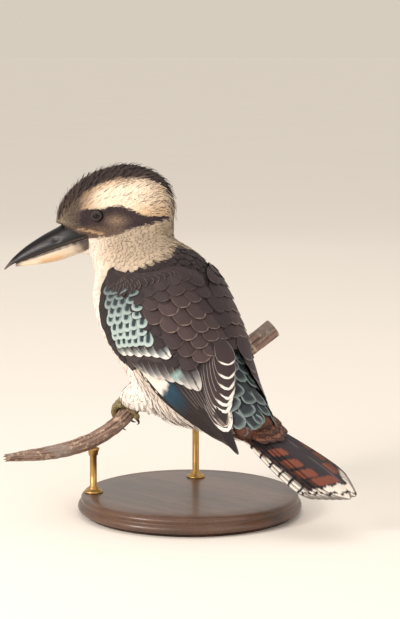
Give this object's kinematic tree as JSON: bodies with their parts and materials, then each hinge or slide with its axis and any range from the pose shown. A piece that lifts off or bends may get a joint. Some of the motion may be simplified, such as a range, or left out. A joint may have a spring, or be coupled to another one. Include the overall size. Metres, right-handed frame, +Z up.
{
  "type": "laughing kookaburra on perch",
  "caption": "Life-size model of a perched laughing kookaburra, head turned to its left, gripping a cut branch held by a round display stand.",
  "frame": {"origin": "centre of the underside of the stand's base", "axes": "+Z up; the bird's body faces -X and its left side is towards -Y"},
  "size_m": [0.3096, 0.2435, 0.2969],
  "materials": {
    "feathers_body": "soft cream feathers with a dark brown mantle and a pale blue rump",
    "feathers_head": "dark brown crown and eye stripe on cream feathers",
    "feathers_wing": "dark brown feathers with pale blue spots on the shoulder and blue edges on the flight feathers",
    "feathers_tail": "rufous feathers barred black with white tips",
    "bill_dark": "satin black horn",
    "bill_pale": "satin pale horn",
    "eye": "polished dark brown",
    "foot": "scaly olive skin with dark claws",
    "bark": "dry grey-brown bark",
    "stand_wood": "dark satin varnish",
    "stand_metal": "brushed"
  },
  "bodies": {
    "root": {"torso": "feathers_body", "neck": "feathers_body", "head": "feathers_head", "bill_upper": "bill_dark", "bill_lower": "bill_pale", "eye_left": "eye", "eye_right": "eye", "wing_left": "feathers_wing", "wing_right": "feathers_wing", "tail": "feathers_tail", "thigh_left": "feathers_body", "thigh_right": "feathers_body", "leg_left": "foot", "leg_right": "foot", "perch": "bark", "stand_base": "stand_wood", "stand_rod_left": "stand_metal", "stand_rod_right": "stand_metal"}
  },
  "joints": []
}
